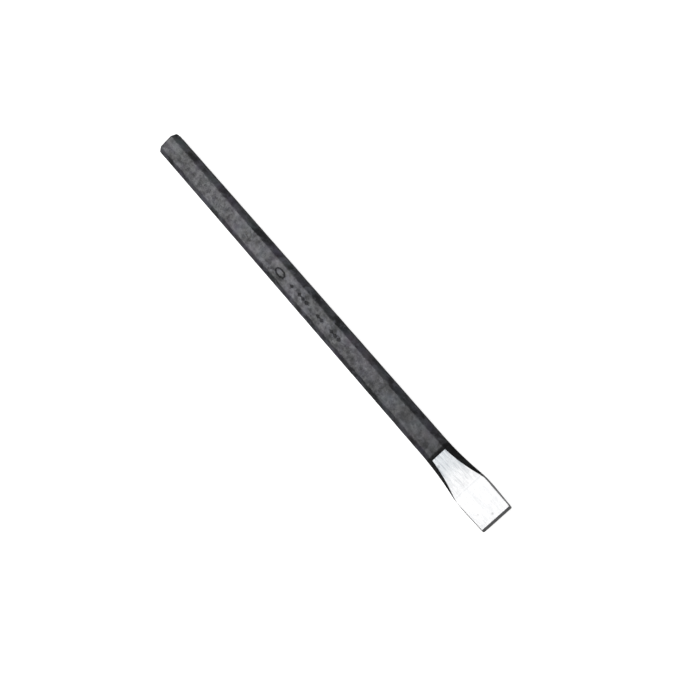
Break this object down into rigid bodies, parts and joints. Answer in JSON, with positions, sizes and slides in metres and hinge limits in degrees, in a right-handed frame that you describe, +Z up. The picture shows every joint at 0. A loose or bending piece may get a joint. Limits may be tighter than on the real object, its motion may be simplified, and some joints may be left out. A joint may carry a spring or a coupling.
{
  "type": "cold chisel",
  "caption": "Flat cold chisel forged from flattened octagonal bar, with a black finish, a bevelled striking head and a wider blade that is ground bright.",
  "frame": {"origin": "under the middle of the chisel, on the surface that it lies on", "axes": "+X from the struck head to the cutting edge, +Y across the width, +Z up through the thickness"},
  "size_m": [0.3, 0.021, 0.011],
  "materials": {
    "ground_steel": "bright ground steel with fine lengthwise grinding marks",
    "black_finish": "satin black finish over forged scale, slightly mottled"
  },
  "bodies": {
    "root": {"forged_steel_body": "ground_steel", "black_coating": "black_finish"}
  },
  "joints": []
}
